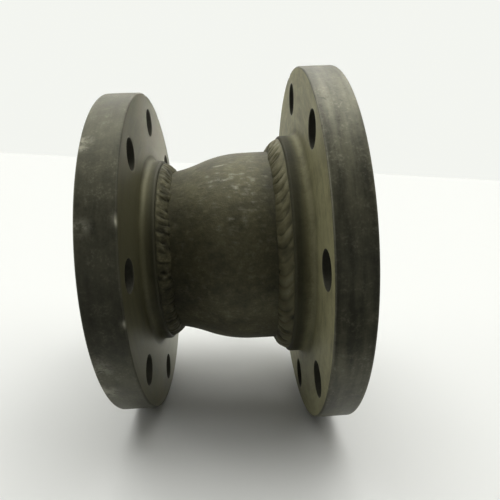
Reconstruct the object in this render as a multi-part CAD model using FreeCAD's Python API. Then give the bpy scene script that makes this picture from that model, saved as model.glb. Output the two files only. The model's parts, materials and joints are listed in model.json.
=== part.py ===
import FreeCAD, Part
import math
import os
from collections import namedtuple

# Flanged concentric pipe reducer, welded from two slip-on flanges and a formed reducer.
#
# Frame: +X runs along the pipe axis from the small end to the large end, +Z is up, and the origin is the
# centre of the small end's raised face. A bolt hole of each flange lies on the +Y axis, and every 45 degrees.
# All sizes are millimetres.

os.makedirs("parts", exist_ok=True)

# ---------------------------------------------------------------- driving dimensions

FlangeSize = namedtuple(
    "FlangeSize",
    "outer_diameter rim_width face_diameter hub_diameter length_through_hub bore_diameter "
    "bolt_circle bolt_hole",
)

# Class 150 slip-on flanges, pipe sizes 4 and 5.
SMALL_FLANGE = FlangeSize(
    outer_diameter=228.6,
    rim_width=22.225,
    face_diameter=157.2,
    hub_diameter=134.9,
    length_through_hub=33.34,
    bore_diameter=116.1,
    bolt_circle=190.5,
    bolt_hole=19.05,
)
LARGE_FLANGE = FlangeSize(
    outer_diameter=254.0,
    rim_width=22.225,
    face_diameter=185.7,
    hub_diameter=163.5,
    length_through_hub=36.51,
    bore_diameter=143.8,
    bolt_circle=215.9,
    bolt_hole=22.225,
)
BOLT_COUNT = 8
RAISED_FACE_HEIGHT = 1.5875
RIM_CHAMFER = 1.0
FACE_CHAMFER = 0.4
HUB_FILLET = 4.0
HUB_CORNER_ROUND = 1.8
HUB_DRAFT = math.radians(1.5)

# Formed reducer: straight ends joined by an S-shaped flare of two tangent arcs.
REDUCER_LENGTH = 127.0
SMALL_PIPE_DIAMETER = 114.3
SMALL_PIPE_WALL = 6.02
LARGE_PIPE_DIAMETER = 141.3
LARGE_PIPE_WALL = 6.55
SMALL_STRAIGHT = 8.6
FLARE_HOLLOW_RADIUS = 101.0
FLARE_CROWN_RADIUS = 86.0

# How far each end of the reducer stops short of the flange's raised face.
PIPE_SETBACK = 13.4

# Hub welds: a fillet from the hub's end, just below its rounded corner, down to the pipe. Each is laid as a
# root run and a cover run.
SMALL_WELD_LEG = 7.8
LARGE_WELD_LEG = 8.7
WELD_BELOW_CORNER = 2.0
WELD_CROWN = 0.9
ROOT_RUN_LEG = 4.8
ROOT_RUN_CROWN = 0.3

# Bore welds: a fillet between the reducer's end and the flange's bore.
BORE_WELD_LEG = 6.0
BORE_WELD_HOLLOW = 0.6

# ---------------------------------------------------------------- sizes worked out

OVERALL_LENGTH = REDUCER_LENGTH + 2 * PIPE_SETBACK
SMALL_PIPE_RADIUS = SMALL_PIPE_DIAMETER / 2
LARGE_PIPE_RADIUS = LARGE_PIPE_DIAMETER / 2
FLARE_START = PIPE_SETBACK + SMALL_STRAIGHT

X_AXIS = FreeCAD.Vector(1, 0, 0)
ORIGIN = FreeCAD.Vector(0, 0, 0)


def point(x, radius):
    """A point of a revolved outline, at a place along the axis and a distance from it."""
    return FreeCAD.Vector(x, 0, radius)


def line(start, end):
    return Part.makeLine(start, end)


def arc(start, middle, end):
    return Part.Arc(start, middle, end).toShape()


def polyline(points):
    """The straight edges that join a list of points."""
    return [line(start, end) for start, end in zip(points, points[1:])]


def revolve(edges):
    """One closed solid of revolution about the pipe axis."""
    outline = Part.Face(Part.Wire(Part.__sortEdges__(edges)))
    return outline.revolve(ORIGIN, X_AXIS, 360)


def bowed(start, end, rise):
    """An arc between two points, whose middle stands off the chord to the right of its direction."""
    chord = end - start
    right = FreeCAD.Vector(chord.z, 0, -chord.x).normalize()
    return arc(start, (start + end) * 0.5 + right * rise, end)


# ---------------------------------------------------------------- flanges


def hub_end_radius(size):
    """The hub's outer radius at its weld end after the draft, before its corner is rounded."""
    hub_height = size.length_through_hub - RAISED_FACE_HEIGHT - size.rim_width
    return size.hub_diameter / 2 - hub_height * math.tan(HUB_DRAFT)


def flange_outline(size):
    """Half section of a slip-on flange: raised face, chamfered rim, filleted and rounded hub, plain bore."""
    bore = size.bore_diameter / 2
    face = size.face_diameter / 2
    rim = size.outer_diameter / 2
    front = RAISED_FACE_HEIGHT
    back = RAISED_FACE_HEIGHT + size.rim_width
    hub_base = size.hub_diameter / 2
    end = size.length_through_hub

    # The hub's fillet is tangent to the flange's back and to the drafted hub.
    turn = math.pi / 2 - HUB_DRAFT
    reach = HUB_FILLET * math.tan(turn / 2)
    fillet_start = point(back, hub_base + reach)
    fillet_end = point(back + reach * math.cos(HUB_DRAFT), hub_base - reach * math.sin(HUB_DRAFT))
    centre = point(back + HUB_FILLET, hub_base + reach)
    half_way = math.pi + turn / 2
    fillet_middle = centre + point(math.cos(half_way), math.sin(half_way)) * HUB_FILLET

    # The hub's outer corner is rounded between the drafted hub and its end face.
    set_back = HUB_CORNER_ROUND * math.tan(turn / 2)
    corner = point(end, hub_end_radius(size))
    round_start = corner + point(-math.cos(HUB_DRAFT), math.sin(HUB_DRAFT)) * set_back
    round_end = corner - point(0, set_back)
    round_centre = corner - point(HUB_CORNER_ROUND, set_back)
    round_middle = round_centre + point(math.cos(turn / 2), math.sin(turn / 2)) * HUB_CORNER_ROUND

    before_fillet = polyline([
        point(end, bore),
        point(0, bore),
        point(0, face - FACE_CHAMFER),
        point(FACE_CHAMFER, face),
        point(front, face),
        point(front, rim - RIM_CHAMFER),
        point(front + RIM_CHAMFER, rim),
        point(back - RIM_CHAMFER, rim),
        point(back, rim - RIM_CHAMFER),
        fillet_start,
    ])
    return before_fillet + [
        arc(fillet_start, fillet_middle, fillet_end),
        line(fillet_end, round_start),
        arc(round_start, round_middle, round_end),
        line(round_end, point(end, bore)),
    ]


def bolt_holes(size):
    """The drills of the bolt circle, one on +Y and the rest evenly round."""
    drills = []
    depth = RAISED_FACE_HEIGHT + size.rim_width
    clearance = 1.0
    for index in range(BOLT_COUNT):
        angle = 2 * math.pi * index / BOLT_COUNT
        foot = FreeCAD.Vector(
            -clearance,
            size.bolt_circle / 2 * math.cos(angle),
            size.bolt_circle / 2 * math.sin(angle),
        )
        drills.append(Part.makeCylinder(size.bolt_hole / 2, depth + 2 * clearance, foot, X_AXIS))
    return drills


def flange(size):
    """A slip-on flange whose raised face looks along -X from the origin."""
    return revolve(flange_outline(size)).cut(bolt_holes(size))


def at_large_end(shape):
    """A shape built at the small end, turned end for end and set at the large end."""
    return shape.mirror(point(OVERALL_LENGTH / 2, 0), X_AXIS)


# ---------------------------------------------------------------- reducer


def s_curve(start, end_radius, hollow_radius, crown_radius):
    """Two tangent arcs that leave one straight end and run smoothly into the other."""
    rise = end_radius - start.z
    slope = math.acos(1 - rise / (hollow_radius + crown_radius))
    length = (hollow_radius + crown_radius) * math.sin(slope)
    end = point(start.x + length, end_radius)
    hollow_centre = start + point(0, hollow_radius)
    crown_centre = end - point(0, crown_radius)

    def on_hollow(angle):
        return hollow_centre + point(math.sin(angle), -math.cos(angle)) * hollow_radius

    def on_crown(angle):
        return crown_centre + point(-math.sin(angle), math.cos(angle)) * crown_radius

    join = on_hollow(slope)
    edges = [
        arc(start, on_hollow(slope / 2), join),
        arc(join, on_crown(slope / 2), end),
    ]
    return edges, end


def concentric_reducer():
    """The formed reducer: a tube of nearly even wall that flares from the small pipe to the large one."""
    small_end = PIPE_SETBACK
    large_end = PIPE_SETBACK + REDUCER_LENGTH
    small_inside = SMALL_PIPE_RADIUS - SMALL_PIPE_WALL
    large_inside = LARGE_PIPE_RADIUS - LARGE_PIPE_WALL

    outer_start = point(FLARE_START, SMALL_PIPE_RADIUS)
    inner_start = point(FLARE_START, small_inside)
    outer_flare, outer_end = s_curve(
        outer_start, LARGE_PIPE_RADIUS, FLARE_HOLLOW_RADIUS, FLARE_CROWN_RADIUS
    )
    inner_flare, inner_end = s_curve(
        inner_start,
        large_inside,
        FLARE_HOLLOW_RADIUS + SMALL_PIPE_WALL,
        FLARE_CROWN_RADIUS - LARGE_PIPE_WALL,
    )

    edges = [line(point(small_end, SMALL_PIPE_RADIUS), outer_start)]
    edges += outer_flare
    edges += polyline([
        outer_end,
        point(large_end, LARGE_PIPE_RADIUS),
        point(large_end, large_inside),
        inner_end,
    ])
    edges += inner_flare
    edges += polyline([
        inner_start,
        point(small_end, small_inside),
        point(small_end, SMALL_PIPE_RADIUS),
    ])
    return revolve(edges)


def flare_radius(x):
    """The reducer's outer radius on the hollow stretch of its flare."""
    run = x - FLARE_START
    return SMALL_PIPE_RADIUS + FLARE_HOLLOW_RADIUS - math.sqrt(FLARE_HOLLOW_RADIUS**2 - run**2)


# ---------------------------------------------------------------- welds


def hub_run(size, toe, top_radius, crown):
    """A weld run in the corner of hub end and pipe. Its foot is sunk in the pipe's wall, to be cut to fit."""
    hub_end = size.length_through_hub
    sunk = toe.z - SMALL_PIPE_WALL / 2
    corner = point(hub_end, sunk)
    toe_foot = point(toe.x, sunk)
    top = point(hub_end, top_radius)
    straight_sides = polyline([top, corner, toe_foot, toe])
    return revolve(straight_sides + [bowed(toe, top, crown)])


def hub_weld_runs(size, root_toe, cover_toe):
    """The root run in the corner, and the whole fillet up to its cover run's surface."""
    root = hub_run(size, root_toe, size.bore_diameter / 2 + ROOT_RUN_LEG, ROOT_RUN_CROWN)
    whole = hub_run(size, cover_toe, hub_end_radius(size) - WELD_BELOW_CORNER, WELD_CROWN)
    return root, whole


def bore_weld(size, pipe_radius, pipe_wall):
    """A hollow-faced fillet on the reducer's end face, reaching out to the flange's bore."""
    bore = size.bore_diameter / 2
    inner = point(PIPE_SETBACK, pipe_radius - pipe_wall + FACE_CHAMFER)
    corner = point(PIPE_SETBACK, bore)
    front = point(PIPE_SETBACK - BORE_WELD_LEG, bore)
    straight_sides = polyline([inner, corner, front])
    return revolve(straight_sides + [bowed(front, inner, -BORE_WELD_HOLLOW)])


# ---------------------------------------------------------------- assembly


def build():
    """Every piece of the spool in its place, by name."""
    reducer = concentric_reducer()

    small_hub_end = SMALL_FLANGE.length_through_hub
    small_root_toe_x = small_hub_end + ROOT_RUN_LEG
    small_cover_toe_x = small_hub_end + SMALL_WELD_LEG
    small_root, small_whole = hub_weld_runs(
        SMALL_FLANGE,
        point(small_root_toe_x, flare_radius(small_root_toe_x)),
        point(small_cover_toe_x, flare_radius(small_cover_toe_x)),
    )

    large_hub_end = LARGE_FLANGE.length_through_hub
    large_root, large_whole = hub_weld_runs(
        LARGE_FLANGE,
        point(large_hub_end + ROOT_RUN_LEG, LARGE_PIPE_RADIUS),
        point(large_hub_end + LARGE_WELD_LEG, LARGE_PIPE_RADIUS),
    )
    large_root = at_large_end(large_root)
    large_whole = at_large_end(large_whole)

    return {
        "small_end_flange": flange(SMALL_FLANGE),
        "large_end_flange": at_large_end(flange(LARGE_FLANGE)),
        "concentric_reducer": reducer,
        "small_end_weld_root": small_root.cut(reducer),
        "small_end_weld_cap": small_whole.cut([reducer, small_root]),
        "large_end_weld_root": large_root.cut(reducer),
        "large_end_weld_cap": large_whole.cut([reducer, large_root]),
        "small_end_bore_weld": bore_weld(SMALL_FLANGE, SMALL_PIPE_RADIUS, SMALL_PIPE_WALL),
        "large_end_bore_weld": at_large_end(bore_weld(LARGE_FLANGE, LARGE_PIPE_RADIUS, LARGE_PIPE_WALL)),
    }


def export(pieces):
    """One STEP file for each piece, with its size and volume printed."""
    for name, shape in pieces.items():
        solid = shape.Solids[0]
        assert len(shape.Solids) == 1 and solid.isValid(), name
        solid.exportStep(f"parts/{name}.step")
        box = solid.optimalBoundingBox()
        print(f"{name}: x {box.XMin:.2f} to {box.XMax:.2f}, z to {box.ZMax:.2f}, {solid.Volume / 1000:.1f} cm3")


export(build())
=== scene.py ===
import json
import math
from collections import namedtuple

import bmesh
import bpy
import numpy as np
from mathutils import Matrix, Vector


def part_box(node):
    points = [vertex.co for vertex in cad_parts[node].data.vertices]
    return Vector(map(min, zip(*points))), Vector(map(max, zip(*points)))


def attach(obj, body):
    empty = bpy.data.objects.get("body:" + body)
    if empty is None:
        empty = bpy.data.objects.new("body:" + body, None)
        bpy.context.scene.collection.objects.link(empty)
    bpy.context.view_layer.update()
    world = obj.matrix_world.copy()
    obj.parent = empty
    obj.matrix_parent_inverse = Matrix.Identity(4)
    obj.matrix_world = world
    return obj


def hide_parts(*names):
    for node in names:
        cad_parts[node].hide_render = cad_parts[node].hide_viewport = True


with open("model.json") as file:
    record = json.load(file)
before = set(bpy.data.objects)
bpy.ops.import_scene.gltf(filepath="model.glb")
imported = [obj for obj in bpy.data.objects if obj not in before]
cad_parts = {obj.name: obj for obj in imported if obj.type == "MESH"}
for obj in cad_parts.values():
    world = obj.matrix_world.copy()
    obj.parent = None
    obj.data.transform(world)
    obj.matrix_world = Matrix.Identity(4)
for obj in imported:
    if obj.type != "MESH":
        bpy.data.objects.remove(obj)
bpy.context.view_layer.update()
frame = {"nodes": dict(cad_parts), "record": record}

# A flanged concentric pipe reducer. Its axis is the frame's X axis, from the small end to the large end.
# Metres throughout. Outlines are pairs of (place along the axis, distance from the axis).

MM = 0.001
DEGREE = math.pi / 180
FULL_TURN = 2 * math.pi
X_AXIS = Vector((1, 0, 0))

# ----- sizes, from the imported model

MOUNTS = {mount["name"]: mount for mount in frame["record"]["mounts"]}
SAME_PLACE = 0.01 * MM


def rings_of(node):
    """Every CAD vertex of a node as (place along the axis, distance from the axis)."""
    points = np.array([vertex.co for vertex in frame["nodes"][node].data.vertices])
    return np.column_stack((points[:, 0], np.hypot(points[:, 1], points[:, 2])))


def radii_at(node, x):
    """The least and greatest radius of a node's vertices in the plane at x."""
    rings = rings_of(node)
    here = rings[np.abs(rings[:, 0] - x) < SAME_PLACE, 1]
    return float(here.min()), float(here.max())


def span_at(node, radius):
    """The lowest and highest x of a node's vertices that stand at one radius."""
    rings = rings_of(node)
    here = rings[np.abs(rings[:, 1] - radius) < SAME_PLACE, 0]
    return float(here.min()), float(here.max())


def ends_of(node, inward):
    """The x of a node's end nearer the flange's raised face, and of its other end."""
    return [corner.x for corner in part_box(node)][::inward]


FlangeEnd = namedtuple(
    "FlangeEnd",
    "name node face_x inward rim_radius rim_near rim_far face_radius bore_radius hub_end hub_end_radius "
    "hub_base_radius bolt_circle bolt_radius bolt_count drilled_x",
)
RIM_CHAMFER = 1.0 * MM
HUB_CORNER_ROUND = 1.8 * MM
HUB_FILLET = 4.0 * MM
HUB_DRAFT = 1.5 * DEGREE


def flange_end(name, inward):
    """One flange's sizes. Inward is +1 where the pipe leaves it towards +X, and -1 where towards -X."""
    node = f"{name}_end_flange"
    face_x, hub_end = ends_of(node, inward)
    rim_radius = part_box(node)[1].z
    near, far = span_at(node, rim_radius)[::inward]
    bolts = MOUNTS[f"{name}_end_bolts"]
    drilled_x = bolts["pos_m"][0]
    rounded_off = HUB_CORNER_ROUND * math.tan((math.pi / 2 - HUB_DRAFT) / 2)
    hub_end_radius = radii_at(node, hub_end)[1] + rounded_off
    rim_far = far + inward * RIM_CHAMFER
    return FlangeEnd(
        name=name,
        node=node,
        face_x=face_x,
        inward=inward,
        rim_radius=rim_radius,
        rim_near=near - inward * RIM_CHAMFER,
        rim_far=rim_far,
        face_radius=radii_at(node, drilled_x)[0],
        bore_radius=radii_at(node, face_x)[0],
        hub_end=hub_end,
        hub_end_radius=hub_end_radius,
        hub_base_radius=hub_end_radius + abs(hub_end - rim_far) * math.tan(HUB_DRAFT),
        bolt_circle=bolts["dims"]["pcd_mm"] / 2 * MM,
        bolt_radius=bolts["dims"]["hole_r_mm"] * MM,
        bolt_count=bolts["dims"]["count"],
        drilled_x=drilled_x,
    )


SMALL = flange_end("small", 1)
LARGE = flange_end("large", -1)

# ----- how the object lies

# It lies on both rims, so the floor touches the outer edge of the small rim and the inner edge of the large
# one, and it is rolled a little, so that no bolt hole is quite level with the axis.
LYING_TILT = math.atan2(LARGE.rim_radius - SMALL.rim_radius, LARGE.rim_far - SMALL.rim_near)
LYING_ROLL = 3.26 * DEGREE
FLOOR_UP = Matrix.Rotation(LYING_ROLL, 3, "X") @ (Matrix.Rotation(LYING_TILT, 3, "Y") @ Vector((0, 0, 1)))
FLOOR_FORWARD = X_AXIS.cross(FLOOR_UP).normalized()
FLOOR_ALONG = FLOOR_UP.cross(FLOOR_FORWARD)
UP_FROM_AXIS = (FLOOR_UP - X_AXIS * FLOOR_UP.x).normalized()
FLOOR_POINT = Vector((SMALL.rim_near, 0, 0)) - UP_FROM_AXIS * SMALL.rim_radius

# ----- noise

HASH_STEPS = (73856093, 19349663, 83492791)
HASH_SEED_STEP = 1640531513
HASH_MIX = 1274126177
HASH_FIRST_SHIFT = 13
HASH_LAST_SHIFT = 15
HASH_KEEP = 0x7FFFFFFF
HASH_RANGE = 0xFFFF


def eased(share):
    """A share from 0 to 1 that leaves 0 and reaches 1 gently."""
    return share * share * (3 - 2 * share)


def lattice_value(cells, seed):
    """A fixed pseudo-random number from -1 to 1 for each cell of a 3-D lattice."""
    mixed = (cells * np.array(HASH_STEPS)).sum(axis=-1) + (seed + 1) * HASH_SEED_STEP
    mixed = (mixed ^ (mixed >> HASH_FIRST_SHIFT)) & HASH_KEEP
    mixed = (mixed * HASH_MIX) & HASH_KEEP
    mixed = (mixed ^ (mixed >> HASH_LAST_SHIFT)) & HASH_RANGE
    return mixed / HASH_RANGE * 2 - 1


def smooth_noise(places, seed):
    """Value noise of an array of places, from -1 to 1, with one feature to each unit of length."""
    base = np.floor(places).astype(np.int64)
    part = eased(places - base)
    total = np.zeros(places.shape[:-1])
    for corner in np.ndindex(2, 2, 2):
        weight = np.prod(np.where(np.array(corner) == 1, part, 1 - part), axis=-1)
        total += weight * lattice_value(base + np.array(corner), seed)
    return total


def layered_noise(points, size, layers, seed):
    """Smooth noise with features of one size, and finer, weaker layers added to it."""
    places = points / size
    total = np.zeros(len(points))
    for layer in range(layers):
        total += smooth_noise(places * 2**layer, seed + layer) / 2**layer
    return total


def round_noise(angles, lanes, per_turn, seed):
    """Noise round a circle that meets itself after a full turn, with about per_turn features in the turn."""
    reach = per_turn / FULL_TURN
    return smooth_noise(np.stack((np.cos(angles) * reach, np.sin(angles) * reach, lanes), axis=-1), seed)


# ----- mesh tools

ARC_STEP = 18 * DEGREE
GUARD = 0.35 * MM


def corner_arc(before, here, after, rounding):
    """The points that round a corner off: an arc, with a guard point just before and after it."""
    back = (before - here).normalized()
    ahead = (after - here).normalized()
    half_angle = back.angle(ahead) / 2
    reach = rounding / math.tan(half_angle)
    centre = here + (back + ahead).normalized() * (rounding / math.sin(half_angle))
    start = here + back * reach
    spoke = start - centre
    sweep = -spoke.angle_signed(here + ahead * reach - centre)
    steps = math.ceil(abs(sweep) / ARC_STEP)
    points = [start + back * GUARD]
    for step in range(steps + 1):
        angle = sweep * step / steps
        turned = Vector((
            spoke.x * math.cos(angle) - spoke.y * math.sin(angle),
            spoke.x * math.sin(angle) + spoke.y * math.cos(angle),
        ))
        points.append(centre + turned)
    points.append(here + ahead * (reach + GUARD))
    return points


def subdivided(points, spacing):
    """A closed outline with its long runs cut into even pieces."""
    dense = []
    for index, start in enumerate(points):
        end = points[(index + 1) % len(points)]
        pieces = max(1, round((end - start).length / spacing))
        dense += [tuple(start.lerp(end, piece / pieces)) for piece in range(pieces)]
    return np.array(dense)


def rounded_outline(corners, spacing):
    """A closed outline through corners of (x, radius, rounding)."""
    places = [Vector((x, radius)) for x, radius, _ in corners]
    points = []
    for index, (x, radius, rounding) in enumerate(corners):
        after = places[(index + 1) % len(places)]
        points += corner_arc(places[index - 1], places[index], after, rounding)
    return subdivided(points, spacing)


def grid_faces(rows, columns):
    """Quads of a grid whose rows and columns both close on themselves."""
    row, column = np.meshgrid(np.arange(rows), np.arange(columns), indexing="ij")
    this_row = row * columns
    next_row = (row + 1) % rows * columns
    next_column = (column + 1) % columns
    corners = this_row + column, this_row + next_column, next_row + next_column, next_row + column
    return np.stack(corners, axis=-1).reshape(-1, 4)


def add_object(name, data):
    """Puts a mesh, a light or a camera into the scene."""
    made = bpy.data.objects.new(name, data)
    bpy.context.scene.collection.objects.link(made)
    return made


def ring_mesh(name, along, radii, angles):
    """A closed ring. Along and radii have one row for each angle and one column for each outline point."""
    points = np.stack((along, radii * np.cos(angles)[:, None], radii * np.sin(angles)[:, None]), axis=-1)
    rows, columns = radii.shape
    mesh = bpy.data.meshes.new(name)
    mesh.from_pydata(points.reshape(-1, 3), [], grid_faces(rows, columns))
    work = bmesh.new()
    work.from_mesh(mesh)
    bmesh.ops.recalc_face_normals(work, faces=work.faces)
    work.to_mesh(mesh)
    work.free()
    return add_object(name, mesh)


def turn_angles(steps):
    """Even angles round one full turn."""
    return np.arange(steps) * FULL_TURN / steps


def lathe(name, outline, steps):
    """An outline of (x, radius) carried once round the X axis."""
    along = np.tile(outline[:, 0], (steps, 1))
    radii = np.tile(outline[:, 1], (steps, 1))
    return ring_mesh(name, along, radii, turn_angles(steps))


def get_points(piece):
    points = np.empty(len(piece.data.vertices) * 3)
    piece.data.vertices.foreach_get("co", points)
    return points.reshape(-1, 3)


def set_points(piece, points):
    piece.data.vertices.foreach_set("co", points.ravel())
    piece.data.update()


def axial(points):
    """The x, radius and angle of points. The angle runs from +Y towards +Z."""
    return points[:, 0], np.hypot(points[:, 1], points[:, 2]), np.arctan2(points[:, 2], points[:, 1])


def turned_from(angles, middle):
    """How far angles are turned from a middle one, within half a turn either way."""
    return (angles - middle + math.pi) % FULL_TURN - math.pi


def paint(piece, name, values):
    """A number from 0 to 1 for each vertex, for the piece's material to read."""
    layer = piece.data.attributes.new(name, "FLOAT", "POINT")
    layer.data.foreach_set("value", np.clip(values, 0, 1).astype(np.float32))


def fade(distance, reach):
    """1 at no distance, and 0 from reach on."""
    return eased(np.clip(1 - np.abs(distance) / reach, 0, 1))


def finish_mesh(piece, sharp_angle):
    piece.data.shade_smooth()
    piece.data.set_sharp_from_angle(angle=sharp_angle)


def fit_out(piece, node):
    """The piece rides on the one body and stands for a CAD node."""
    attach(piece, "root")
    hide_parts(node)


# ----- materials

# Where a colour mix node keeps its two colours and its result.
MIX_FIRST = 6
MIX_SECOND = 7
MIX_RESULT = 2


class Shader:
    """A material under construction, with short ways to add nodes and join them."""

    def __init__(self, name):
        self.material = bpy.data.materials.new(name)
        self.material.use_nodes = True
        self.tree = self.material.node_tree
        self.surface = self.tree.nodes["Principled BSDF"]

    def feed(self, socket, value):
        """Joins another node's output to a socket, or sets the socket's own value."""
        if isinstance(value, bpy.types.NodeSocket):
            self.tree.links.new(value, socket)
        else:
            socket.default_value = value

    def finish(self, name, value):
        """Sets or joins one of the surface's own inputs."""
        self.feed(self.surface.inputs[name], value)

    def node(self, kind, inputs, **settings):
        """A new node, with what some of its inputs are fed, by name or number."""
        made = self.tree.nodes.new(kind)
        for key, value in settings.items():
            setattr(made, key, value)
        for key, value in inputs.items():
            self.feed(made.inputs[key], value)
        return made

    def math(self, operation, first, second=0.0):
        return self.node("ShaderNodeMath", {0: first, 1: second}, operation=operation).outputs[0]

    def times(self, first, second):
        return self.math("MULTIPLY", first, second)

    def plus(self, *values):
        total = values[0]
        for value in values[1:]:
            total = self.math("ADD", total, value)
        return total

    def shares(self, values, shares):
        """The sum of several values, each times its share."""
        return self.plus(*(self.times(value, share) for value, share in zip(values, shares)))

    def swing(self, noise, strength):
        """Noise from 0 to 1 made to swing about zero."""
        return self.times(self.math("SUBTRACT", noise, 0.5), strength)

    def place(self):
        """Where a point lies, in the part's own frame."""
        return self.node("ShaderNodeTexCoord", {}).outputs["Object"]

    def axial_place(self):
        """The x, y and z of a point, and its distance from the axis."""
        x, y, z = self.node("ShaderNodeSeparateXYZ", {0: self.place()}).outputs
        return x, y, z, self.math("SQRT", self.plus(self.times(y, y), self.times(z, z)))

    def noise(self, place, scale, detail, roughness, depth=None):
        inputs = {"Vector": place, "Scale": scale, "Detail": detail, "Roughness": roughness}
        if depth is not None:
            inputs["W"] = depth
        dimensions = "3D" if depth is None else "4D"
        return self.node("ShaderNodeTexNoise", inputs, noise_dimensions=dimensions).outputs[0]

    def turned_noise(self, fineness, around, detail, roughness):
        """Noise like the marks left by turning: fine along and across the axis, long around it."""
        x, y, z, radius = self.axial_place()
        inputs = {
            0: self.times(x, fineness),
            1: self.times(self.math("DIVIDE", y, radius), around),
            2: self.times(self.math("DIVIDE", z, radius), around),
        }
        place = self.node("ShaderNodeCombineXYZ", inputs).outputs[0]
        return self.noise(place, 1.0, detail, roughness, depth=self.times(radius, fineness))

    def band(self, value, low, high):
        """0 below low, 1 above high, and a straight slope between."""
        inputs = {"Value": value, "From Min": low, "From Max": high}
        return self.node("ShaderNodeMapRange", inputs).outputs[0]

    def blend(self, share, first, second):
        """A colour between two, by share."""
        inputs = {"Factor": share, MIX_FIRST: first, MIX_SECOND: second}
        made = self.node("ShaderNodeMix", inputs, data_type="RGBA", clamp_factor=True)
        return made.outputs[MIX_RESULT]

    def painted(self, name):
        """The numbers that paint() gave the vertices."""
        return self.node("ShaderNodeAttribute", {}, attribute_name=name).outputs["Fac"]

    def bump(self, height, distance, under=None):
        inputs = {"Distance": distance, "Height": height}
        if under is not None:
            inputs["Normal"] = under
        return self.node("ShaderNodeBump", inputs).outputs["Normal"]


# Dark oily steel: its deepest grime and painted shade, its dark and middle tones, the dust on it and its pale
# painted highlights, and the worn bare metal and its painted sheen and glints.
STEEL_GRIME_AND_SHADE = (0.012, 0.012, 0.009)
STEEL_DARK = (0.041, 0.040, 0.0265)
STEEL_MIDDLE = (0.139, 0.136, 0.091)
STEEL_DUST_AND_HIGHLIGHT = (0.34, 0.335, 0.27)
STEEL_BARE_AND_SHEEN = (0.50, 0.49, 0.40)

# Tints, as shares of red, green and blue. Oiled is a light, warm film, and the others only shift the hue.
PLAIN = (1.0, 1.0, 1.0)
OLIVE = (1.04, 1.0, 0.84)
BROWNED = (1.10, 1.08, 0.90)
OILED = (2.00, 1.96, 1.68)

# Noise as (features per metre, detail, roughness): clouds, blotches, patches, specks and pits.
LAYERS = ((20.0, 3.0, 0.5), (62.0, 4.0, 0.6), (190.0, 4.0, 0.65), (750.0, 2.0, 0.6), (2200.0, 2.0, 0.5))

# Marks of turning as (fineness along and across the axis, features around it, detail, roughness).
TURNED_LINES = (900.0, 2.5, 4.0, 0.65)
TURNED_SMEARS = (210.0, 3.2, 3.0, 0.55)

# The tone, from dark at 0 to middle at 1, and how far each layer swings it.
STEEL_TONE = 0.40
CLOUD_SWING = 0.9
BLOTCH_SWING = 2.2
PATCH_SWING = 1.6
SPECK_SWING = 0.9
LINE_SWING = 0.9
SMEAR_SWING = 2.4

# The noise values between which each mark goes from nothing to full, and how much the grime and painted shade
# cover.
DUST_BAND = (0.53, 0.64)
DUST_CLUSTER_BAND = (0.42, 0.60)
SCUFF_AND_HIGHLIGHT_BAND = (0.36, 0.52)
WEAR_AND_SHEEN_BAND = (0.28, 0.44)
GRIME_AND_SHADE_COVER = 0.85

# What patches, blotches, wear and painted sheen, scuffs and painted highlights, and grime and painted shade
# add to the roughness, and patches, specks and pits to the skin's height. The roughness starts lower by the
# first two's mean.
SMOOTHER = 0.14
ROUGHNESS_SHARES = (0.14, 0.14, -0.14, 0.12, 0.15)
SKIN_SHARES = (0.6, 0.25, 0.15)
SKIN_DEPTH = 1.0 * MM
LINE_DEPTH = 0.10 * MM
GROOVE_DEPTH = 0.06 * MM
GROOVE_PITCH = 0.8 * MM


def tinted(colour, tint):
    """An opaque colour with each of its parts multiplied by the tint's."""
    return (*(part * share for part, share in zip(colour, tint)), 1)


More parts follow.
